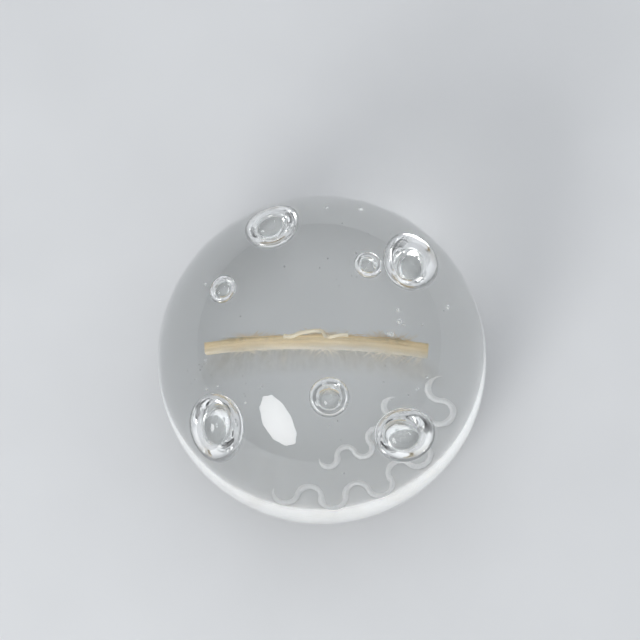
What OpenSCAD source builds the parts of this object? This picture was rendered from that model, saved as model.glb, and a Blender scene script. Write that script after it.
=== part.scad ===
// Domed art-glass paperweight: a clear glass sphere whose foot is ground flat.
// It is built in the order a glassworker gathers it. An upright picture stands
// in the first gather: two thin sheets with an arch of cream glass threads
// between them, and a loose crest thread above. Air pockets are pricked into
// the skin of the first gather, and the second gather closes over them, so
// each is a void shared by both gathers.
// Millimetres, +Z up, +X along the picture, origin at the centre of the foot.

/* [Glass body] */
// Diameter of the sphere before its foot is ground away
ball_d = 80; // [78:1:90]
// Height of the finished paperweight
height = 57.2; // [56:0.2:58]
// Width of the small bevel ground round the foot
bevel = 0.6; // [0.3:0.1:1]
// Diameter of the first gather, on whose skin the bubbles lie
core_d = 52; // [51.5:0.5:53]

/* [Picture] */
// Width of the picture, along X
picture_w = 39; // [36:0.5:39.5]
// Thickness of its two sheets
sheet_t = 0.6; // [0.4:0.1:0.8]
// Height of the lower sheet's bottom edge above the foot
picture_low = 2.6; // [2.4:0.1:5]
// Height of the upper sheet's top edge above the foot
picture_high = 30.4; // [30:0.1:31]
// How far the picture sits off the axis, along X
picture_shift = -0.6; // [-0.8:0.1:0.4]

/* [Cream arch] */
// Diameter of each glass thread
thread_d = 0.75; // [0.5:0.05:0.75]
// Distance from one thread to the next, both across and upwards
thread_pitch = 0.8; // [0.78:0.01:0.85]
// Gap between the threads and the edge of either sheet
thread_gap = 0.05; // [0.03:0.01:0.1]
// Height of the arch's middle line at its crown, above the foot
arch_top = 28; // [26:0.2:28.4]
// Rise of the arch from its ends to its crown
arch_rise = 5; // [4:0.2:8]

/* [Crest thread] */
// Diameter of the loose thread above the picture
crest_d = 0.7; // [0.5:0.1:0.9]

/* [Engraved waves] */
// Width of the engraved line under the foot
groove_w = 0.8; // [0.4:0.05:0.9]
// Depth of the engraved line
groove_depth = 0.15; // [0.1:0.05:0.3]
// Radius of the arc that the outer wave follows
outer_wave_r = 15; // [13:0.5:16]
// Radius of the arc that the inner wave follows
inner_wave_r = 9; // [8:0.5:9.5]

/* [Hidden] */
$fn = 96;

ball_r = ball_d / 2;
core_r = core_d / 2;
mid_z = height - ball_r;            // the sphere's centre, above the foot
foot_r = sqrt(ball_r * ball_r - mid_z * mid_z);

// Bubbles in the skin of the first gather: each is [longitude, latitude, width, length,
// degrees that its length is turned from the meridian towards the east].
BUBBLES = [
    [112.3, 21.2, 10.1, 12.0, 17],      // back left
    [43.5, 26.0, 11.2, 16.2, -21],      // back right
    [218.8, 14.3, 11.9, 16.6, -9],      // front left
    [313.8, 18.9, 11.1, 14.5, -29],     // front right
    [281, 55.7, 8.2, 8.2, 0],           // front, near the top
    [153.7, 37.2, 5.7, 5.7, 0],         // small, left
    [54.2, 50.5, 5.7, 5.7, 0]           // small, beside the back right one
];
end_roundness = 0.75;               // radius of a long bubble's end arcs, over half its width

// The arch is part of a circle standing in the picture's plane.
half_w = picture_w / 2;
arch_r = (half_w * half_w + arch_rise * arch_rise) / (2 * arch_rise);
arch_z = arch_top - arch_r;         // the arch circle's centre
arch_sweep = 2 * asin(half_w / (arch_r - thread_pitch)) + 4;
arch_half_t = (thread_pitch + thread_d) / 2 + thread_gap;

// The crest thread's route in the picture's plane: [x, height above the picture].
CREST_ROUTE = [
    [-6.3, 1.6], [-5.4, 1.3], [-4.5, 1.9], [-3.5, 3.7], [-1.5, 5.2], [-0.3, 5.8], [0.6, 5.7],
    [1.1, 4.7], [1.2, 3.0], [1.4, 1.7], [2.1, 1.2], [3.0, 1.9], [4.3, 2.8], [5.6, 2.8]
];
crest_steps = 4;                    // points added to each span of the route

// Each engraved wave is [radius, first longitude, degrees a wave, number of waves].
// One wave is two half circles, one outwards and one inwards.
WAVES = [
    [outer_wave_r, 242, 26, 5],
    [inner_wave_r, 264, 32, 3]
];

// Moves its children to a place on the skin of the first gather, and lays their Z axis
// along the meridian there, or turned from it towards the east.
module on_core(longitude, latitude, turn)
    translate([0, 0, mid_z])
        rotate([0, 90 - latitude, longitude])
            translate([0, 0, core_r])
                rotate([0, 90, -turn])
                    children();

// A smooth oval of four arcs, with its length along Y.
module oval(width, length) {
    half = width / 2;
    // The end arcs, and the side arcs that run on from them without a kink
    end_r = end_roundness * half;
    end_y = length / 2 - end_r;
    side_r = (end_y * end_y + half * half - end_r * end_r) / (2 * (half - end_r));
    meet_y = end_y * side_r / (side_r - end_r);
    for (side = [-1, 1])
        translate([0, side * end_y])
            circle(r = end_r);
    intersection() {
        translate([half - side_r, 0])
            circle(r = side_r);
        translate([side_r - half, 0])
            circle(r = side_r);
        square([width, 2 * meet_y], center = true);
    }
}

// An air pocket, round about Z.
module pocket(width, length)
    rotate_extrude()
        intersection() {
            if (length > width)
                oval(width, length);
            else
                circle(d = width);
            translate([0, -length])
                square([width, 2 * length]);
        }

module bubbles()
    for (b = BUBBLES)
        on_core(b[0], b[1], b[4])
            pocket(b[2], b[3]);

// The ball, cut flat at the foot and bevelled there.
module ground_ball()
    rotate_extrude()
        difference() {
            intersection() {
                translate([0, mid_z])
                    circle(r = ball_r, $fn = 256);
                square([ball_d, height + 1]);
            }
            polygon([
                [foot_r - bevel, -1], [foot_r - bevel, 0],
                [foot_r + bevel, 2 * bevel], [foot_r + 2, 2 * bevel], [foot_r + 2, -1]
            ]);
        }

// The first gather, cut at the same foot.
module gather_ball()
    rotate_extrude()
        intersection() {
            translate([0, mid_z])
                circle(r = core_r, $fn = 192);
            square([core_d, height]);
        }

// The engraved waves, as a cutter that reaches groove_depth into the foot.
module engraving()
    translate([0, 0, -1])
        linear_extrude(height = 1 + groove_depth)
            for (w = WAVES, i = [0 : 2 * w[3] - 1])
                rotate(w[1] + (i + 0.5) * w[2] / 2)
                    translate([w[0] * cos(w[2] / 4), 0])
                        half_ring(w[0] * sin(w[2] / 4), i % 2 == 0 ? 1 : -1);

// Half of a ring of the engraved line's width, bulging to +X or -X.
module half_ring(r, side)
    intersection() {
        difference() {
            circle(r = r + groove_w / 2, $fn = 48);
            circle(r = r - groove_w / 2, $fn = 48);
        }
        translate([side * r, 0])
            square([2 * r, 4 * r], center = true);
    }

// Stands a drawing made in X and Y up in the plane of the picture.
module upright(thickness)
    translate([0, thickness / 2, 0])
        rotate([90, 0, 0])
            linear_extrude(height = thickness)
                children();

// One thread of the arch. across is -1 in front, 0 in the middle and 1 behind;
// up is -1 in the lower row and 1 in the upper one.
module arch_thread(across, up)
    color(across < 0 ? "cornsilk" : across == 0 ? "wheat" : "tan")
        intersection() {
            translate([picture_shift, across * thread_pitch, arch_z])
                rotate([90, 0, 0])
                    rotate(90 - arch_sweep / 2)
                        rotate_extrude(angle = arch_sweep)
                            translate([arch_r + up * thread_pitch / 2, 0])
                                circle(d = thread_d, $fn = 32);
            translate([picture_shift - half_w, -ball_r, 0])
                cube([picture_w, ball_d, height]);
        }

// A point on the smooth curve through p1 and p2, with p0 and p3 on each side.
function spline(p0, p1, p2, p3, t) = 0.5 * (
    2 * p1 + (p2 - p0) * t
    + (2 * p0 - 5 * p1 + 4 * p2 - p3) * t * t
    + (3 * p1 - p0 - 3 * p2 + p3) * t * t * t
);

function crest_line() = let (r = CREST_ROUTE, last = len(r) - 1) [
    for (i = [0 : last - 1], k = [0 : crest_steps - 1])
        spline(r[max(i - 1, 0)], r[i], r[i + 1], r[min(i + 2, last)], k / crest_steps),
    r[last]
];

// The left-hand side direction of line at point i.
function side_way(line, i) =
    let (d = line[min(i + 1, len(line) - 1)] - line[max(i - 1, 0)])
    [-d[1], d[0]] / norm(d);

module casing_gather()
    color("aliceblue", 0.3)
        difference() {
            ground_ball();
            gather_ball();
            bubbles();
        }

module core_gather()
    color("lightcyan", 0.3)
        difference() {
            gather_ball();
            bubbles();
            engraving();
            lower_sheet();
            upper_sheet();
            for (across = [-1, 0, 1], up = [-1, 1])
                arch_thread(across, up);
            crest_thread();
        }

// The sheet under the arch.
module lower_sheet()
    color("darkkhaki", 0.6)
        upright(sheet_t)
            intersection() {
                translate([picture_shift - half_w, picture_low])
                    square([picture_w, height]);
                translate([picture_shift, arch_z])
                    circle(r = arch_r - arch_half_t, $fn = 256);
            }

// The sheet over the arch.
module upper_sheet()
    color("olive", 0.6)
        upright(sheet_t)
            difference() {
                translate([picture_shift - half_w, 0])
                    square([picture_w, picture_high]);
                translate([picture_shift, arch_z])
                    circle(r = arch_r + arch_half_t, $fn = 256);
            }

module crest_thread()
    color("wheat")
        let (line = crest_line(), count = len(line) - 1)
            translate([0, 0, picture_high])
                upright(crest_d)
                    polygon(concat(
                        [for (i = [0 : count]) line[i] + side_way(line, i) * crest_d / 2],
                        [for (i = [count : -1 : 0]) line[i] - side_way(line, i) * crest_d / 2]
                    ));

casing_gather();
core_gather();
lower_sheet();
upper_sheet();
arch_thread(-1, -1);  // arch_thread_front_lower
arch_thread(0, -1);  // arch_thread_middle_lower
arch_thread(1, -1);  // arch_thread_back_lower
arch_thread(-1, 1);  // arch_thread_front_upper
arch_thread(0, 1);  // arch_thread_middle_upper
arch_thread(1, 1);  // arch_thread_back_upper
crest_thread();
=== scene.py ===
"""The looks of a domed glass paperweight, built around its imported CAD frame.

The two gathers are fused into one body in the real piece, so one skin of glass replaces both: the
ball, its bevelled foot, the engraved waves, the seven bubbles and the tiny seeds. The picture
inside is built of drawn glass fibres and two streaked sheets. All lengths are in metres, in the
CAD frame, unless a comment says millimetres.
"""

import math
import random

import bpy
from mathutils import Matrix, Vector, noise
from mathutils.geometry import delaunay_2d_cdt


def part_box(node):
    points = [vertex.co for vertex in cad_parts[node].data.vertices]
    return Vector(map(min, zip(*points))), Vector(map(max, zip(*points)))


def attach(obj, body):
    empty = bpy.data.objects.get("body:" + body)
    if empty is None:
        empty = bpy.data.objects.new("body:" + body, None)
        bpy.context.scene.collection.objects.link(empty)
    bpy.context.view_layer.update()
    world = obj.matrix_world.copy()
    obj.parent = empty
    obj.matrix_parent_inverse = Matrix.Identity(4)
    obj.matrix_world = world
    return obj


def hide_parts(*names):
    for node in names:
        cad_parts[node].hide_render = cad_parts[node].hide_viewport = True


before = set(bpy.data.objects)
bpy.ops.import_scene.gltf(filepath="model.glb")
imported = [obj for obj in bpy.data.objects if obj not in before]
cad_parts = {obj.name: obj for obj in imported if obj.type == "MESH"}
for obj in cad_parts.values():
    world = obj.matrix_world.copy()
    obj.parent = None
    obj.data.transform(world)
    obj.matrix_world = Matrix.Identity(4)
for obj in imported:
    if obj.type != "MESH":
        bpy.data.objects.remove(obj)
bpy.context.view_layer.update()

MM = 0.001

# The ball and its foot, from the frame
glass_low, glass_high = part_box("casing_gather")
BALL_R = (glass_high.x - glass_low.x) / 2
MID = Vector((0, 0, glass_high.z - BALL_R))
CORE_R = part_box("core_gather")[1].z - MID.z
FOOT_R = math.sqrt(BALL_R**2 - MID.z**2)
BEVEL = 0.6 * MM
BEVEL_SOFT = 0.12 * MM
BALL_SEGMENTS = 288
BALL_ROWS = 150

# Bubbles in the skin of the first gather: longitude, latitude, width, length, and the degrees
# that the length is turned from the meridian towards the east
BUBBLES = (
    (112.3, 21.2, 10.1 * MM, 12.0 * MM, 17),
    (43.5, 26.0, 11.2 * MM, 16.2 * MM, -21),
    (218.8, 14.3, 11.9 * MM, 16.6 * MM, -9),
    (313.8, 18.9, 11.1 * MM, 14.5 * MM, -29),
    (281, 55.7, 8.2 * MM, 8.2 * MM, 0),
    (153.7, 37.2, 5.7 * MM, 5.7 * MM, 0),
    (54.2, 50.5, 5.7 * MM, 5.7 * MM, 0),
)
BUBBLE_MESH = (96, 60)

# Single seeds, the small bubbles in the same skin: longitude, latitude, diameter
SEEDS = (
    (15, 51, 0.75 * MM), (5, 49, 0.6 * MM), (7, 51, 0.9 * MM), (-4, 55, 0.9 * MM),
    (-4, 57, 0.6 * MM), (19, 17, 0.8 * MM), (7, 38, 0.4 * MM), (341, 30, 0.55 * MM),
    (333, 32, 0.4 * MM), (218, 62, 0.45 * MM), (152, 22, 0.5 * MM), (278, 42, 0.4 * MM),
    (89, 11, 0.6 * MM), (77, 4, 0.7 * MM), (66, 48, 0.4 * MM),
)
SEED_STRETCH = 1.3
SEED_MESH = (24, 14)

# Sprinkles of finer seeds: longitude, latitude, spread in degrees, count
SEED_GROUPS = (
    (200, 24, 9, 12), (221, 46, 9, 8), (60, 45, 30, 6), (300, 35, 40, 6), (0, 45, 180, 14),
)
WIDEST_LATITUDE = 25
FINE_SEED_D = (0.15 * MM, 0.4 * MM)
FINE_SEED_STRETCH = (1, 1.8)
FINE_SEED_MESH = (12, 8)
OFF_THE_SKIN = 0.6 * MM

# The engraved waves: radius of the arc they follow, first longitude, degrees a wave, waves
WAVES = ((15 * MM, 242, 26, 5), (9 * MM, 264, 32, 3))
WAVE_STEPS = 24
GROOVE_W = 0.8 * MM
GROOVE_DEPTH = 0.15 * MM
GROOVE_ACROSS = (-1, -0.55, 0, 0.55, 1)
TAPER_STEPS = 10

# The picture, from the frame
lower_low, lower_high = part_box("lower_sheet")
upper_low, upper_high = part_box("upper_sheet")
PICTURE_X0, PICTURE_X1 = lower_low.x, lower_high.x
SHEET_T = lower_high.y - lower_low.y
THREAD_D = 0.75 * MM
THREAD_PITCH = 0.8 * MM
ARCH_RISE = 5 * MM
HALF_W = (PICTURE_X1 - PICTURE_X0) / 2
ARCH_X = (PICTURE_X0 + PICTURE_X1) / 2
ARCH_R = (HALF_W**2 + ARCH_RISE**2) / (2 * ARCH_RISE)
# Half the thickness of the arch, and from its middle line to a sheet
ARCH_HALF = (THREAD_PITCH + THREAD_D) / 2
ARCH_GAP = ARCH_HALF + 0.05 * MM
ARCH_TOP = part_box("arch_thread_middle_upper")[1].z - ARCH_HALF
ARCH_STEPS = 80

# How far apart the columns of threads stand, in thread pitches: at the left end, and from
# CLOSED_UP to the right of it
CLOSED_UP = 24 * MM
STAND_APART = (0.68, 0.95)

# Each thread: how much its core is stretched along Y, and the fine fibres over it, with how far
# out they lie in thread diameters, how much further they lie along Y, and their radius in mm
CORE_BROAD = 1.34
FIBRES = 56
FIBRE_REACH = (0.47, 0.54)
FIBRE_BROAD = 1.15
FIBRE_R = (0.03, 0.05)

# How many hairs each thread of the front, middle and back columns has, and in mm how far a hair
# follows its thread and rises off it
HAIRS = {-1: 200, 0: 90, 1: 340}
HAIR_ALONG = (0.6, 3.0)
HAIR_RISE = (0.1, 0.7)

# Where the arch is frayed, along X from its middle, and how far round there. The share of the
# hairs that are there, and in mm how far those rise
FRAYED = ((-12 * MM, 3 * MM), (1 * MM, 3 * MM), (12.5 * MM, 4 * MM))
FRAYED_SHARE = 0.6
FRAYED_RISE = (0.3, 2.0)

# Fine fibres that lie across the columns, on each thread of the upper row, and in mm how far
# they run along it
STRAYS = 150
STRAY_ALONG = (1.2, 4.5)
STRAY_R = 0.05 * MM

# Where hairs and strays start, as a share of the arch's half width
ROOTED = 0.97

# Pale hairs that trail down at the right end, and their length in mm
TRAILING_HAIRS = 9
TRAILING_REACH = (1.5, 3.2)

# The sheets: how far they wave, and their mesh
SHEET_WAVE = 0.12 * MM
SHEET_COLUMNS = 78
SHEET_ROWS = 40

# The crest thread's route, in mm: x, height above the picture
CREST_ROUTE = (
    (-6.3, 1.6), (-5.4, 1.3), (-4.5, 1.9), (-3.5, 3.7), (-1.5, 5.2), (-0.3, 5.8), (0.6, 5.7),
    (1.1, 4.7), (1.2, 3.0), (1.4, 1.7), (2.1, 1.2), (3.0, 1.9), (4.3, 2.8), (5.6, 2.8),
)


# ---------------------------------------------------------------- helpers


def smooth_step(t):
    """Eases from 0 to 1 as t goes from 0 to 1."""
    t = max(0.0, min(1.0, t))
    return t * t * (3 - 2 * t)


def toward(azimuth, elevation):
    """A direction from the ball. Azimuth 0 is in front, on the -Y side, and 90 is at +X."""
    a, e = math.radians(azimuth), math.radians(elevation)
    return Vector((math.sin(a) * math.cos(e), -math.cos(a) * math.cos(e), math.sin(e)))


class Skin:
    """Collects one mesh: points with their true normals, and faces with their material slots."""

    def __init__(self):
        self.points, self.normals, self.faces, self.slots, self.flat = [], [], [], [], []

    def add(self, point, normal):
        self.points.append(Vector(point))
        self.normals.append(Vector(normal).normalized())
        return len(self.points) - 1

    def face(self, corners, slot=0, flat=None):
        """A face, turned to look the way its points' normals do, or the way flat does."""
        a, b, c = (self.points[corners[i]] for i in (0, len(corners) // 3, 2 * len(corners) // 3))
        way = flat if flat else sum((self.normals[i] for i in corners), Vector())
        if (b - a).cross(c - a).dot(way) < 0:
            corners = corners[::-1]
        self.faces.append(tuple(corners))
        self.slots.append(slot)
        self.flat.append(flat)

    def rings(self, rings, closed=True, slot=0):
        """Quads between rows of points of the same length."""
        for a, b in zip(rings, rings[1:]):
            count = len(a) if closed else len(a) - 1
            for i in range(count):
                j = (i + 1) % len(a)
                self.face((a[i], b[i], b[j], a[j]), slot)

    def cap(self, ring, tip, slot=0):
        """Triangles from a ring to one point."""
        for i in range(len(ring)):
            self.face((tip, ring[i], ring[(i + 1) % len(ring)]), slot)

    def build(self, name, materials):
        mesh = bpy.data.meshes.new(name)
        mesh.from_pydata(self.points, [], self.faces)
        for m in materials:
            mesh.materials.append(m)
        mesh.polygons.foreach_set("material_index", self.slots)
        mesh.polygons.foreach_set("use_smooth", [True] * len(self.faces))
        mesh.update()
        corners = [flat or self.normals[i]
                   for face, flat in zip(self.faces, self.flat) for i in face]
        mesh.normals_split_custom_set(corners)
        piece = bpy.data.objects.new(name, mesh)
        bpy.context.scene.collection.objects.link(piece)
        return piece


def ring_of(skin, radius, z, normal_r, normal_z, count):
    """A level ring of points round the Z axis."""
    ring = []
    for i in range(count):
        a = 2 * math.pi * i / count
        ring.append(skin.add((radius * math.cos(a), radius * math.sin(a), z),
                             (normal_r * math.cos(a), normal_r * math.sin(a), normal_z)))
    return ring


def on_skin(longitude, latitude, radius=CORE_R):
    """A point on the skin of the first gather, and the directions out and up the meridian."""
    lon, lat = math.radians(longitude), math.radians(latitude)
    out = Vector((math.cos(lat) * math.cos(lon), math.cos(lat) * math.sin(lon), math.sin(lat)))
    up = Vector((-math.sin(lat) * math.cos(lon), -math.sin(lat) * math.sin(lon), math.cos(lat)))
    return MID + out * radius, out, up


def hollow(skin, centre, axis, width, length, segments, rows):
    """The wall of an oval air pocket, round about axis, with its normals towards the air."""
    side = axis.orthogonal().normalized()
    other = axis.cross(side)
    rings = []
    for k in range(1, rows):
        rise, reach = math.cos(math.pi * k / rows), math.sin(math.pi * k / rows)
        ring = []
        for i in range(segments):
            a = 2 * math.pi * i / segments
            out = side * math.cos(a) + other * math.sin(a)
            wall = centre + axis * rise * length / 2 + out * reach * width / 2
            ring.append(skin.add(wall, -(axis * rise / length + out * reach / width)))
        rings.append(ring)
    top = skin.add(centre + axis * length / 2, -axis)
    bottom = skin.add(centre - axis * length / 2, axis)
    skin.rings(rings)
    skin.cap(rings[0], top)
    skin.cap(rings[-1], bottom)


# ---------------------------------------------------------------- the glass body

# The material slots of the glass body, after the clear glass in slot 0
FOOT, ENGRAVED = 1, 2


def wave_line(radius, first, pitch, count):
    """Points of a running wave of half circles along an arc under the foot."""
    quarter = math.radians(pitch / 4)
    bow = radius * math.sin(quarter)
    points = []
    for i in range(2 * count):
        side = 1 if i % 2 == 0 else -1
        at = math.radians(first + (i + 0.5) * pitch / 2)
        out = Vector((math.cos(at), math.sin(at)))
        along = Vector((-math.sin(at), math.cos(at)))
        centre = out * radius * math.cos(quarter)
        for k in range(WAVE_STEPS + (i == 2 * count - 1)):
            turn = math.pi * k / WAVE_STEPS
            points.append(centre - along * bow * math.cos(turn) + out * side * bow * math.sin(turn))
    return points


def groove(skin, line):
    """A hand-engraved groove along line. Returns its outline, as point numbers of the skin.

    It tapers at both ends. Its width swells with the hand's pressure and is rough at the edges.
    """
    last = len(line) - 1
    rows = []
    for i, p in enumerate(line):
        way = (line[min(i + 1, last)] - line[max(i - 1, 0)]).normalized()
        side = Vector((-way.y, way.x))
        taper = min(1, (i + 0.8) / TAPER_STEPS, (last - i + 0.8) / TAPER_STEPS)
        pressure = 0.95 + 0.3 * noise.noise(Vector((p.x * 500, p.y * 500, 0)))
        pressure += 0.25 * noise.noise(Vector((p.x * 4000, p.y * 4000, 5)))
        half = GROOVE_W / 2 * taper * pressure
        depth = GROOVE_DEPTH * taper
        row = []
        for t in GROOVE_ACROSS:
            at = p + side * half * t
            slope = side * t * 1.4 if 0 < abs(t) < 1 else Vector((0, 0))
            row.append(skin.add((at.x, at.y, depth * (1 - t * t)), (-slope.x, -slope.y, -1)))
        rows.append(row)
    skin.rings(rows, closed=False, slot=ENGRAVED)
    for row, way in ((rows[0], line[0] - line[1]), (rows[-1], line[last] - line[last - 1])):
        skin.face(row, ENGRAVED, flat=-way.to_3d().normalized())
    return [r[0] for r in rows] + [r[-1] for r in reversed(rows)]


def inside(point, outline):
    """True if a flat point is inside a closed outline."""
    odd = False
    for a, b in zip(outline, outline[1:] + outline[:1]):
        if (a.y > point.y) != (b.y > point.y):
            if point.x < a.x + (b.x - a.x) * (point.y - a.y) / (b.y - a.y):
                odd = not odd
    return odd


def foot_face(skin, rim, outlines):
    """The flat foot, from its rim in to the engraved outlines."""
    loops = [rim] + outlines
    used = [n for loop in loops for n in loop]
    flat = [skin.points[n].to_2d() for n in used]
    edges, start = [], 0
    for loop in loops:
        count = len(loop)
        edges += [(start + i, start + (i + 1) % count) for i in range(count)]
        start += count
    found = delaunay_2d_cdt(flat, edges, [], 0, 1e-9)
    corner = {i: used[sources[0]] for i, sources in enumerate(found[3]) if sources}
    shapes = [[skin.points[n].to_2d() for n in loop] for loop in outlines]
    for triangle in found[2]:
        middle = sum((found[0][i] for i in triangle), Vector((0, 0))) / 3
        if not any(inside(middle, shape) for shape in shapes):
            skin.face([corner[i] for i in triangle], FOOT)


def glass_body(materials):
    """The whole glass: ball, bevel, foot, engraved waves, bubbles and seeds."""
    skin = Skin()
    # The 45 degree line of the bevel leaves the foot at b and meets the ball at a height of reach.
    b = FOOT_R - BEVEL
    reach = (-(b - MID.z) + math.sqrt((b - MID.z) ** 2 - 2 * (b * b + MID.z**2 - BALL_R**2))) / 2
    low = math.asin((reach - MID.z) / BALL_R)
    rings = []
    for k in range(1, BALL_ROWS + 1):
        lat = math.pi / 2 + (low - math.pi / 2) * k / BALL_ROWS
        c, s = math.cos(lat), math.sin(lat)
        rings.append(ring_of(skin, BALL_R * c, MID.z + BALL_R * s, c, s, BALL_SEGMENTS))
    # The ground bevel, softened at both of its edges
    for z, tilt in ((reach - BEVEL_SOFT, -0.6), (BEVEL_SOFT, -1)):
        rings.append(ring_of(skin, b + z, z, 1, tilt, BALL_SEGMENTS))
    rings.append(ring_of(skin, b - BEVEL_SOFT, 0, 0, -1, BALL_SEGMENTS))
    skin.rings(rings[:-2])
    skin.rings(rings[-3:], slot=FOOT)
    top = skin.add((0, 0, MID.z + BALL_R), (0, 0, 1))
    skin.cap(rings[0], top)
    outlines = [groove(skin, wave_line(*wave)) for wave in WAVES]
    foot_face(skin, rings[-1], outlines)
    for longitude, latitude, width, length, turned in BUBBLES:
        centre, out, up = on_skin(longitude, latitude)
        turn = math.radians(turned)
        axis = up * math.cos(turn) + up.cross(out) * math.sin(turn)
        hollow(skin, centre, axis, width, length, *BUBBLE_MESH)
    for longitude, latitude, size in SEEDS:
        centre, _, up = on_skin(longitude, latitude)
        hollow(skin, centre, up, size, SEED_STRETCH * size, *SEED_MESH)
    draw = random.Random(5)
    for longitude, latitude, spread, count in SEED_GROUPS:
        for _ in range(count):
            lat = latitude + draw.uniform(-1, 1) * min(spread, WIDEST_LATITUDE)
            lon = longitude + draw.uniform(-1, 1) * spread
            centre, _, up = on_skin(lon, lat, CORE_R + draw.uniform(-1, 1) * OFF_THE_SKIN)
            size = FINE_SEED_D[0] + (FINE_SEED_D[1] - FINE_SEED_D[0]) * draw.random() ** 2
            length = size * draw.uniform(*FINE_SEED_STRETCH)
            hollow(skin, centre, up, size, length, *FINE_SEED_MESH)
    return skin.build("glass_body", materials)


# ---------------------------------------------------------------- the picture


def picture_x(k, steps):
    """The k-th of steps + 1 even places across the picture."""
    return PICTURE_X0 + (PICTURE_X1 - PICTURE_X0) * k / steps


def arch_point(x, up):
    """A point of the arch's middle line, lifted by up across the arch."""
    lean = math.asin(max(-1, min(1, (x - ARCH_X) / ARCH_R)))
    r = ARCH_R + up
    return Vector((ARCH_X + r * math.sin(lean), 0, ARCH_TOP - ARCH_R + r * math.cos(lean)))


def tube(skin, line, radii, sides, broad=1.0):
    """A round fibre along line, with flat cut ends. broad stretches its section along Y."""
    last = len(line) - 1
    rings = []
    for i, p in enumerate(line):
        way = (line[min(i + 1, last)] - line[max(i - 1, 0)]).normalized()
        side = way.cross(Vector((0, 1, 0))).normalized()
        other = way.cross(side)
        ring = []
        for k in range(sides):
            a = 2 * math.pi * k / sides
            reach = side * math.cos(a) + other * math.sin(a) * broad
            normal = side * math.cos(a) + other * math.sin(a) / broad
            ring.append(skin.add(p + reach * radii[i], normal))
        rings.append(ring)
    skin.rings(rings)
    skin.face(rings[0], flat=(line[0] - line[1]).normalized())
    skin.face(rings[-1], flat=(line[last] - line[last - 1]).normalized())


def gathered(x):
    """How far the columns of threads stand apart at x: they close up towards the left end."""
    least, most = STAND_APART
    return least + (most - least) * smooth_step((x - PICTURE_X0) / CLOSED_UP)


def beside_arch(x, y, up):
    """A point beside the arch's middle line, y behind it and up across it."""
    return arch_point(x, up) + Vector((0, y * gathered(x), 0))


def drawn_thread(name, across, up, material):
    """One thread of the arch: a core, fine fibres drawn over it, and hairs combed off it.

    across is -1, 0 or 1 for the front, middle or back column, and up -1 or 1 for the row.
    """
    skin = Skin()
    draw = random.Random(name)
    xs = [picture_x(k, ARCH_STEPS) for k in range(ARCH_STEPS + 1)]
    y0, lift = across * THREAD_PITCH, up * THREAD_PITCH / 2
    core = [beside_arch(x, y0, lift) for x in xs]
    # The core swells and thins a little along its length.
    swell = [0.5 + 0.05 * noise.noise(Vector((k * 0.2, y0 * 900, up))) for k in range(len(xs))]
    tube(skin, core, [THREAD_D * r for r in swell], 16, broad=CORE_BROAD)
    for _ in range(FIBRES):
        # A fibre winds a little round the core. Half of them start late, and half end early.
        turn, twist = draw.uniform(0, 2 * math.pi), draw.uniform(-1.5, 1.5)
        reach = THREAD_D * draw.uniform(*FIBRE_REACH)
        phase = draw.uniform(0, 100)
        first = 0 if draw.random() < 0.5 else draw.randrange(0, ARCH_STEPS // 2)
        final = ARCH_STEPS
        if draw.random() >= 0.5:
            final = draw.randrange(ARCH_STEPS // 2, ARCH_STEPS + 1)
        line, radii = [], []
        for k in range(first, final + 1):
            a = turn + twist * k / ARCH_STEPS
            off = reach * (1 + 0.2 * noise.noise(Vector((k * 0.1, phase, 0))))
            line.append(beside_arch(xs[k], y0 + FIBRE_BROAD * off * math.cos(a),
                                    lift + off * math.sin(a)))
            radii.append(draw.uniform(*FIBRE_R) * MM)
        if len(line) > 3:
            tube(skin, line, radii, 5)
    for _ in range(HAIRS[across]):
        hair(skin, draw, across, up)
    if up == 1:
        for _ in range(STRAYS):
            stray_fibre(skin, draw, across)
    if across == -1 and up == -1:
        for _ in range(TRAILING_HAIRS):
            trailing_hair(skin, draw)
    return skin.build(name, [material])


def stray_fibre(skin, draw, across):
    """A fine fibre that lies aslant over the upper row, from one column towards the next."""
    start = ARCH_X + draw.uniform(-1, 1) * HALF_W * ROOTED
    along = min(draw.uniform(*STRAY_ALONG) * MM, PICTURE_X1 - start)
    y0 = across * THREAD_PITCH + draw.uniform(-0.5, 0.5) * THREAD_PITCH
    slant = draw.uniform(-0.7, 0.7) * THREAD_PITCH
    line = []
    for j in range(7):
        t = j / 6
        y = y0 + slant * t
        # It dips a little between one column and the next.
        dip = 0.46 + 0.08 * math.cos(2 * math.pi * y / THREAD_PITCH)
        line.append(beside_arch(start + along * t, y, THREAD_PITCH / 2 + THREAD_D * dip))
    if (line[0] - line[-1]).length > 0.6 * MM:
        tube(skin, line, [STRAY_R] * 7, 5)


def hair(skin, draw, across, up):
    """A short hair that lifts off the outside of a thread and follows it for a while."""
    if draw.random() < FRAYED_SHARE:
        middle, spread = draw.choice(FRAYED)
        start = ARCH_X + draw.gauss(middle, spread / 2)
        rise = draw.uniform(*FRAYED_RISE) * MM
    else:
        start = ARCH_X + draw.uniform(-1, 1) * HALF_W * ROOTED
        rise = draw.uniform(*HAIR_RISE) * MM
    along = draw.choice((-1, 1)) * draw.uniform(*HAIR_ALONG) * MM
    tilt = up * draw.uniform(-0.2, 1.2)
    side = across or draw.choice((-1, 1))
    line, radii = [], []
    for j in range(7):
        t = j / 6
        x = min(max(start + along * t, PICTURE_X0), PICTURE_X1)
        off = THREAD_D * 0.45 + rise * t**1.5
        line.append(beside_arch(x, across * THREAD_PITCH + side * off * math.cos(tilt),
                                up * THREAD_PITCH / 2 + off * math.sin(tilt)))
        radii.append((0.034 - 0.024 * t) * MM)
    if (line[0] - line[-1]).length > 0.4 * MM:
        tube(skin, line, radii, 4)


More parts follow.
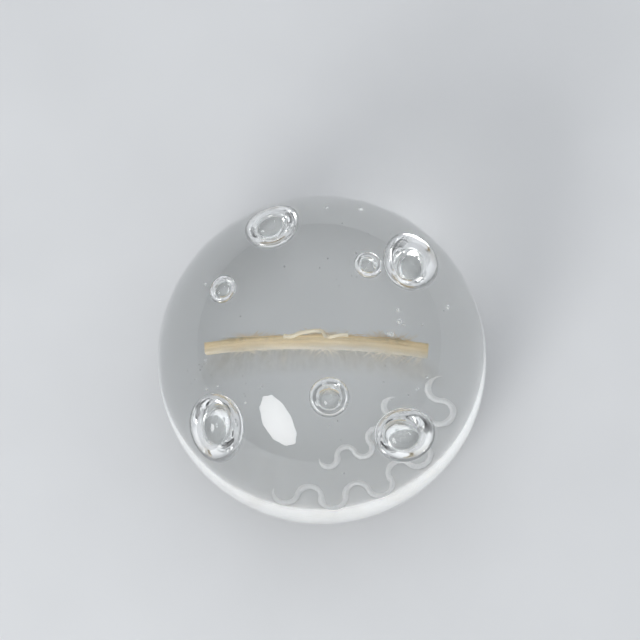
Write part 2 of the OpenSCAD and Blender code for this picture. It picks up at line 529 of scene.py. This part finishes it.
def trailing_hair(skin, draw):
    """A pale hair that leaves the arch at its right end and trails down in front of it."""
    x = PICTURE_X1 - draw.uniform(0.2, 3.5) * MM
    start = arch_point(x, -THREAD_PITCH * draw.uniform(0, 0.6))
    start += Vector((0, -1.3 * THREAD_PITCH, 0))
    reach = draw.uniform(*TRAILING_REACH) * MM
    way = Vector((-0.75 + draw.uniform(-0.1, 0.1), -0.5, -0.35)).normalized()
    line = [start + way * reach * j / 5 + Vector((0, 0, -0.12 * MM * (j / 5) ** 2))
            for j in range(6)]
    tube(skin, line, [(0.045 - 0.004 * j) * MM for j in range(6)], 4)


def edge_of(grid):
    """The point numbers round the edge of a grid of columns, from its lower left corner."""
    bottom, top = [c[0] for c in grid], [c[-1] for c in grid]
    return bottom + grid[-1][1:-1] + top[::-1] + grid[0][-2:0:-1]


def sheet(name, low_edge, high_edge, material):
    """A thin cut sheet, slightly wavy. Its edges are functions of x."""
    skin = Skin()
    faces = []
    for side in (-1, 1):
        grid = []
        for i in range(SHEET_COLUMNS + 1):
            x = picture_x(i, SHEET_COLUMNS)
            low, high = low_edge(x), max(high_edge(x), low_edge(x) + 0.05 * MM)
            line = []
            for j in range(SHEET_ROWS + 1):
                z = low + (high - low) * j / SHEET_ROWS
                y = side * (SHEET_T / 2 - SHEET_WAVE)
                y += noise.noise(Vector((x * 120, z * 90, 3))) * SHEET_WAVE
                line.append(skin.add((x, y, z), (0, side, 0)))
            grid.append(line)
        skin.rings(grid, closed=False)
        faces.append(grid)
    front, back = (edge_of(grid) for grid in faces)
    for i in range(len(front)):
        j = (i + 1) % len(front)
        run = skin.points[front[j]] - skin.points[front[i]]
        out = Vector((0, 1, 0)).cross(run).normalized()
        skin.face((front[i], back[i], back[j], front[j]), flat=out)
    return skin.build(name, [material])


def smooth_route(route, steps):
    """Points on the smooth curve through the points of route."""
    points, last = [], len(route) - 1
    for i in range(last):
        p0, p1, p2, p3 = (route[max(i - 1, 0)], route[i], route[i + 1], route[min(i + 2, last)])
        for k in range(steps):
            t = k / steps
            points.append(0.5 * (2 * p1 + (p2 - p0) * t + (2 * p0 - 5 * p1 + 4 * p2 - p3) * t * t
                                 + (3 * p1 - p0 - 3 * p2 + p3) * t**3))
    return points + [route[-1]]


def crest(material):
    """The loose thread over the picture. It thins towards its right end, and is a little uneven."""
    skin = Skin()
    route = [Vector((x * MM, 0, upper_high.z + z * MM)) for x, z in CREST_ROUTE]
    line = smooth_route(route, 10)
    last = len(line) - 1
    radii = [(0.40 - 0.08 * i / last + 0.012 * math.sin(i * 0.7)) * MM for i in range(last + 1)]
    tube(skin, line, radii, 16)
    return skin.build("crest_cane", [material])


# ---------------------------------------------------------------- materials


def new_material(name):
    m = bpy.data.materials.new(name)
    m.use_nodes = True
    return m, m.node_tree.nodes, m.node_tree.links, m.node_tree.nodes["Principled BSDF"]


def coordinates(nodes, links, scale=(1, 1, 1)):
    """Object coordinates, scaled, so that patterns have a real size."""
    where = nodes.new("ShaderNodeTexCoord")
    mapping = nodes.new("ShaderNodeMapping")
    mapping.inputs["Scale"].default_value = scale
    links.new(where.outputs["Object"], mapping.inputs["Vector"])
    return mapping.outputs["Vector"]


def split_axes(nodes, links, vector):
    """The X, Y and Z of a vector socket, as a collection of outputs."""
    split = nodes.new("ShaderNodeSeparateXYZ")
    links.new(vector, split.inputs["Vector"])
    return split.outputs


def noise_of(nodes, links, vector, scale, detail=3.0, roughness=0.5):
    n = nodes.new("ShaderNodeTexNoise")
    n.inputs["Scale"].default_value = scale
    n.inputs["Detail"].default_value = detail
    n.inputs["Roughness"].default_value = roughness
    links.new(vector, n.inputs["Vector"])
    return n.outputs["Fac"]


def arithmetic(nodes, links, operation, *values):
    """The result of a Math node. Its values are sockets or plain numbers."""
    node = nodes.new("ShaderNodeMath")
    node.operation = operation
    for socket, value in zip(node.inputs, values):
        if isinstance(value, float):
            socket.default_value = value
        else:
            links.new(value, socket)
    return node.outputs["Value"]


def map_range(nodes, links, value, low, high, kind="LINEAR"):
    """The node that maps value from low..high to 0..1."""
    node = nodes.new("ShaderNodeMapRange")
    node.interpolation_type = kind
    node.inputs["From Min"].default_value = low
    node.inputs["From Max"].default_value = high
    links.new(value, node.inputs["Value"])
    return node


def ramp(nodes, links, fac, stops):
    """The colour of a ramp at fac. Its stops are (place, colour)."""
    r = nodes.new("ShaderNodeValToRGB")
    while len(r.color_ramp.elements) < len(stops):
        r.color_ramp.elements.new(0.5)
    for element, (at, colour) in zip(r.color_ramp.elements, stops):
        element.position = at
        element.color = (*colour, 1)
    links.new(fac, r.inputs["Fac"])
    return r.outputs["Color"]


def grey_ramp(nodes, links, fac, stops):
    """A ramp of greys. Its stops are (place, grey)."""
    return ramp(nodes, links, fac, [(at, (grey, grey, grey)) for at, grey in stops])


def bump(nodes, links, shader, height, strength, distance):
    b = nodes.new("ShaderNodeBump")
    b.inputs["Strength"].default_value = strength
    b.inputs["Distance"].default_value = distance
    links.new(height, b.inputs["Height"])
    links.new(b.outputs["Normal"], shader.inputs["Normal"])


GLASS_IOR = 1.52


def clear_glass():
    """Fire-polished crystal: faint waves in the skin from the last heat."""
    m, nodes, links, shader = new_material("clear_glass")
    shader.inputs["Base Color"].default_value = (0.985, 0.995, 0.99, 1)
    shader.inputs["Transmission Weight"].default_value = 1.0
    shader.inputs["Roughness"].default_value = 0.0
    shader.inputs["IOR"].default_value = GLASS_IOR
    waves = noise_of(nodes, links, coordinates(nodes, links), 60, detail=2)
    bump(nodes, links, shader, waves, strength=0.25, distance=0.08 * MM)
    return m


def polished_foot():
    """The ground and polished foot: fine wear scratches, a little duller than the ball."""
    m, nodes, links, shader = new_material("polished_foot")
    shader.inputs["Base Color"].default_value = (0.98, 0.99, 0.985, 1)
    shader.inputs["Transmission Weight"].default_value = 1.0
    shader.inputs["IOR"].default_value = GLASS_IOR
    wear = noise_of(nodes, links, coordinates(nodes, links), 300, detail=4, roughness=0.6)
    dullness = grey_ramp(nodes, links, wear, ((0.55, 0.0), (0.85, 0.12)))
    links.new(dullness, shader.inputs["Roughness"])
    scratches = noise_of(nodes, links, coordinates(nodes, links, (1, 14, 1)), 900, detail=2)
    bump(nodes, links, shader, scratches, strength=0.12, distance=0.02 * MM)
    return m


def engraved_glass():
    """The engraver's line: crushed, white and matt."""
    m, nodes, links, shader = new_material("engraved_glass")
    grain = noise_of(nodes, links, coordinates(nodes, links), 5000)
    white = ramp(nodes, links, grain, ((0.3, (0.90, 0.91, 0.91)), (0.7, (0.99, 0.99, 0.98))))
    links.new(white, shader.inputs["Base Color"])
    shader.inputs["Roughness"].default_value = 0.9
    shader.inputs["IOR"].default_value = GLASS_IOR
    shader.inputs["Specular IOR Level"].default_value = 0.0
    bump(nodes, links, shader, grain, strength=0.5, distance=0.05 * MM)
    return m


def embedded(shader):
    """Opaque glass inside clear glass has no skin of its own to shine."""
    shader.inputs["Specular IOR Level"].default_value = 0.0
    shader.inputs["Roughness"].default_value = 0.8


def cream_threads():
    """Drawn cream glass, from pale in front to olive brown behind, streaked along the fibres."""
    m, nodes, links, shader = new_material("cream_threads")
    embedded(shader)
    streaks = noise_of(nodes, links, coordinates(nodes, links, (90, 2200, 2200)), 1)
    patches = noise_of(nodes, links, coordinates(nodes, links, (160, 260, 260)), 1)
    depth = split_axes(nodes, links, coordinates(nodes, links))["Y"]
    behind = map_range(nodes, links, depth, -1.6 * THREAD_PITCH, 2.6 * THREAD_PITCH)
    tone = behind.outputs["Result"]
    for pattern, share in ((streaks, 0.10), (patches, 0.36)):
        tone = arithmetic(nodes, links, "MULTIPLY_ADD", pattern, share, tone)
    colour = ramp(nodes, links, tone, (
        (0.20, (0.93, 0.88, 0.78)), (0.36, (0.97, 0.87, 0.68)), (0.62, (0.97, 0.82, 0.57)),
        (0.90, (0.92, 0.76, 0.49)), (1.0, (0.66, 0.52, 0.30))))
    links.new(colour, shader.inputs["Base Color"])
    return m


def crest_glass():
    """The loose thread: ivory, with faint lengthwise streaks."""
    m, nodes, links, shader = new_material("crest_glass")
    embedded(shader)
    streaks = noise_of(nodes, links, coordinates(nodes, links, (500, 4000, 1200)), 1)
    ivory = ramp(nodes, links, streaks, ((0.25, (0.98, 0.85, 0.62)), (0.75, (1.0, 0.93, 0.76))))
    links.new(ivory, shader.inputs["Base Color"])
    return m


# Over what distance the sheets fade out at both ends of the picture
SHEET_ENDS = 5 * MM


def olive_sheet(name, inner, outer, density):
    """Thin translucent olive glass, combed in fine vertical streaks.

    density gives its opacity over the distance from the arch, from inner (0) to outer (1).
    """
    m, nodes, links, shader = new_material(name)
    embedded(shader)
    streaks = noise_of(nodes, links, coordinates(nodes, links, (900, 300, 90)), 1,
                       detail=4, roughness=0.6)
    olive = ramp(nodes, links, streaks, (
        (0.3, (0.42, 0.35, 0.19)), (0.6, (0.62, 0.51, 0.32)), (0.8, (0.80, 0.69, 0.48))))
    links.new(olive, shader.inputs["Base Color"])
    # The distance from the arch is measured along the radius of its circle.
    from_centre = nodes.new("ShaderNodeMapping")
    from_centre.inputs["Location"].default_value = (-ARCH_X, 0, ARCH_R - ARCH_TOP)
    from_centre.inputs["Scale"].default_value = (1, 0, 1)
    links.new(coordinates(nodes, links), from_centre.inputs["Vector"])
    radius = nodes.new("ShaderNodeVectorMath")
    radius.operation = "LENGTH"
    links.new(from_centre.outputs["Vector"], radius.inputs[0])
    away = map_range(nodes, links, radius.outputs["Value"], ARCH_R + inner, ARCH_R + outer)
    opacity = grey_ramp(nodes, links, away.outputs["Result"], density)
    across = split_axes(nodes, links, from_centre.outputs["Vector"])["X"]
    reach = arithmetic(nodes, links, "ABSOLUTE", across)
    ends = map_range(nodes, links, reach, HALF_W, HALF_W - SHEET_ENDS, "SMOOTHSTEP")
    combed = grey_ramp(nodes, links, streaks, ((0.3, 0.3), (0.7, 1.0)))
    for factor in (ends.outputs["Result"], combed):
        opacity = arithmetic(nodes, links, "MULTIPLY", opacity, factor)
    links.new(opacity, shader.inputs["Alpha"])
    return m


def pale_floor():
    """The studio's floor: pale grey, very faintly mottled."""
    m, nodes, links, shader = new_material("pale_floor")
    tint = noise_of(nodes, links, coordinates(nodes, links), 25, detail=2)
    pale = ramp(nodes, links, tint, ((0.3, (0.69, 0.695, 0.70)), (0.7, (0.72, 0.725, 0.73))))
    links.new(pale, shader.inputs["Base Color"])
    shader.inputs["Roughness"].default_value = 0.55
    return m


# ---------------------------------------------------------------- the pieces


def place(piece, slot, *nodes):
    """Puts a piece on the frame's one body, in place of the CAD nodes."""
    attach(piece, "root")
    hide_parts(*nodes)


body = glass_body([clear_glass(), polished_foot(), engraved_glass()])
place(body, "clear_glass", "casing_gather", "core_gather")

cream = cream_threads()
for across, depth_name in ((-1, "front"), (0, "middle"), (1, "back")):
    for up, level_name in ((-1, "lower"), (1, "upper")):
        cane = f"{depth_name}_{level_name}"
        thread = drawn_thread(f"cane_{cane}", across, up, cream)
        place(thread, "cream_glass", f"arch_thread_{cane}")
place(crest(crest_glass()), "cream_glass", "crest_thread")


def under_arch(x):
    """The height of the lower sheet's upper edge."""
    return arch_point(x, -ARCH_GAP).z


def over_arch(x):
    """The height of the upper sheet's lower edge."""
    return arch_point(x, ARCH_GAP).z


lower_olive = olive_sheet("olive_lower", -ARCH_GAP, -18 * MM,
                          ((0.0, 0.30), (0.35, 0.26), (1.0, 0.0)))
upper_olive = olive_sheet("olive_upper", ARCH_GAP, 6.5 * MM,
                          ((0.0, 0.0), (0.3, 0.16), (0.65, 0.45), (1.0, 0.0)))
lower = sheet("lower_picture", lambda x: lower_low.z, under_arch, lower_olive)
upper = sheet("upper_picture", over_arch, lambda x: upper_high.z, upper_olive)
place(lower, "olive_glass", "lower_sheet")
place(upper, "olive_glass", "upper_sheet")


# ---------------------------------------------------------------- the studio

FLOOR_DROP = 0.05 * MM
FLOOR_RADIUS = 2.5
bpy.ops.mesh.primitive_circle_add(vertices=128, radius=FLOOR_RADIUS, fill_type="NGON",
                                  location=(0, 0, -FLOOR_DROP))
floor = bpy.context.object
floor.name = "floor"
floor.data.materials.append(pale_floor())


def glowing(name, points, faces, glow, strength):
    """A light in the studio: a mesh that glows by its points' glow.

    The studio shows through where it is dim.
    """
    mesh = bpy.data.meshes.new(name)
    mesh.from_pydata(points, [], faces)
    mesh.attributes.new("glow", "FLOAT", "POINT").data.foreach_set("value", glow)
    m = bpy.data.materials.new(name)
    m.use_nodes = True
    nodes, links = m.node_tree.nodes, m.node_tree.links
    nodes.clear()
    fade = nodes.new("ShaderNodeAttribute")
    fade.attribute_name = "glow"
    power = arithmetic(nodes, links, "MULTIPLY", fade.outputs["Fac"], strength)
    shine = nodes.new("ShaderNodeEmission")
    links.new(power, shine.inputs["Strength"])
    both = nodes.new("ShaderNodeAddShader")
    links.new(shine.outputs["Emission"], both.inputs[0])
    links.new(nodes.new("ShaderNodeBsdfTransparent").outputs["BSDF"], both.inputs[1])
    out = nodes.new("ShaderNodeOutputMaterial")
    links.new(both.outputs["Shader"], out.inputs["Surface"])
    mesh.materials.append(m)
    source = bpy.data.objects.new(name, mesh)
    bpy.context.scene.collection.objects.link(source)


def glow_card(name, azimuths, elevations, distance, soft, strength):
    """A curved white card round the ball, between two azimuths and two elevations.

    It fades out towards its edges. soft is the share of its width and of its height that it
    takes to do so.
    """
    columns, rows = 48, 24
    points, faces, glow = [], [], []
    for i in range(columns + 1):
        u = i / columns
        azimuth = azimuths[0] + (azimuths[1] - azimuths[0]) * u
        for j in range(rows + 1):
            v = j / rows
            elevation = elevations[0] + (elevations[1] - elevations[0]) * v
            points.append(MID + toward(azimuth, elevation) * distance)
            glow.append(smooth_step(min(u, 1 - u) / soft[0]) * smooth_step(min(v, 1 - v) / soft[1]))
    for i in range(columns):
        for j in range(rows):
            k = i * (rows + 1) + j
            faces.append((k, k + 1, k + rows + 2, k + rows + 1))
    glowing(name, points, faces, glow, strength)


# The umbrella's ten ribs, with a spoke for each rib and for the middle of each panel
SPOKES = 20
UMBRELLA_RINGS = 4
RIB_GLOW = 0.80
RIM_DIMMING = 0.15
PANEL_REACH = 0.92


def umbrella(name, azimuth, elevation, distance, width, height, roll, strength):
    """A photographic umbrella, seen at an angle: a little dimmer at its ribs and its rim."""
    way = toward(azimuth, elevation)
    level = Vector((0, 0, 1)).cross(way).normalized()
    rise = way.cross(level)
    turn = math.radians(roll)
    side = level * math.cos(turn) + rise * math.sin(turn)
    rise = rise * math.cos(turn) - level * math.sin(turn)
    points, glow = [MID + way * distance], [1.0]
    for k in range(1, UMBRELLA_RINGS + 1):
        for i in range(SPOKES):
            a = 2 * math.pi * i / SPOKES
            on_rib = i % 2 == 0
            out = k / UMBRELLA_RINGS / 2 * (1 if on_rib else PANEL_REACH)
            points.append(points[0] + side * width * out * math.cos(a)
                          + rise * height * out * math.sin(a))
            glow.append((RIB_GLOW if on_rib else 1) - RIM_DIMMING * (k / UMBRELLA_RINGS) ** 2)
    faces = [(0, 1 + i, 1 + (i + 1) % SPOKES) for i in range(SPOKES)]
    for k in range(UMBRELLA_RINGS - 1):
        for i in range(SPOKES):
            a, b = 1 + k * SPOKES + i, 1 + k * SPOKES + (i + 1) % SPOKES
            faces.append((a, a + SPOKES, b + SPOKES, b))
    glowing(name, points, faces, glow, strength)


umbrella("key_umbrella", azimuth=-28, elevation=25, distance=1.0, width=0.36, height=0.66,
         roll=42, strength=11.5)
glow_card("far_card", azimuths=(106, 270), elevations=(26, 62), distance=1.3,
          soft=(0.13, 0.34), strength=0.25)


HORIZON_GLOW = 0.12


def studio_world():
    """Soft light from all round, brightest overhead and dim at the horizon."""
    world = bpy.data.worlds.new("studio")
    world.use_nodes = True
    nodes, links = world.node_tree.nodes, world.node_tree.links
    sky = nodes["Background"]
    sky.inputs["Color"].default_value = (0.93, 0.96, 1.0, 1)
    where = nodes.new("ShaderNodeTexCoord")
    height = split_axes(nodes, links, where.outputs["Generated"])["Z"]
    rise = map_range(nodes, links, height, 0.0, 1.0, "SMOOTHSTEP")
    rise.inputs["To Min"].default_value = HORIZON_GLOW
    links.new(rise.outputs["Result"], sky.inputs["Strength"])
    return world


bpy.context.scene.world = studio_world()
bpy.context.scene.view_settings.view_transform = "Standard"
bpy.context.scene.cycles.max_bounces = 32
bpy.context.scene.cycles.transmission_bounces = 32
bpy.context.scene.cycles.glossy_bounces = 16
bpy.context.scene.cycles.transparent_max_bounces = 32

# ---------------------------------------------------------------- the camera

# In degrees, with the azimuth and the elevation as in toward()
CAMERA_AZIMUTH = 10
CAMERA_ELEVATION = 73
CAMERA_ROLL = 9
CAMERA_DISTANCE = 11.3 * BALL_R
LENS = 104.0

# Where the ball's centre is in the frame, in ball radii right of the middle and up from it
BALL_AT = (0.012, -0.242)


def camera():
    """The camera that sees the object as the main view does."""
    data = bpy.data.cameras.new("camera")
    data.lens, data.sensor_width = LENS, 36.0
    data.clip_start, data.clip_end = 0.01, 20
    out = toward(CAMERA_AZIMUTH, CAMERA_ELEVATION)
    level = toward(CAMERA_AZIMUTH + 90, 0)
    rise = out.cross(level)
    roll = math.radians(CAMERA_ROLL)
    right = level * math.cos(roll) - rise * math.sin(roll)
    up = level * math.sin(roll) + rise * math.cos(roll)
    place_at = MID + out * CAMERA_DISTANCE
    target = MID - right * BALL_AT[0] * BALL_R - up * BALL_AT[1] * BALL_R
    back = (place_at - target).normalized()
    right = (right - back * right.dot(back)).normalized()
    up = back.cross(right)
    turned = Matrix((right, up, back)).transposed()
    eye = bpy.data.objects.new("camera", data)
    eye.matrix_world = Matrix.Translation(place_at) @ turned.to_4x4()
    bpy.context.scene.collection.objects.link(eye)
    return eye


bpy.context.scene.camera = camera()
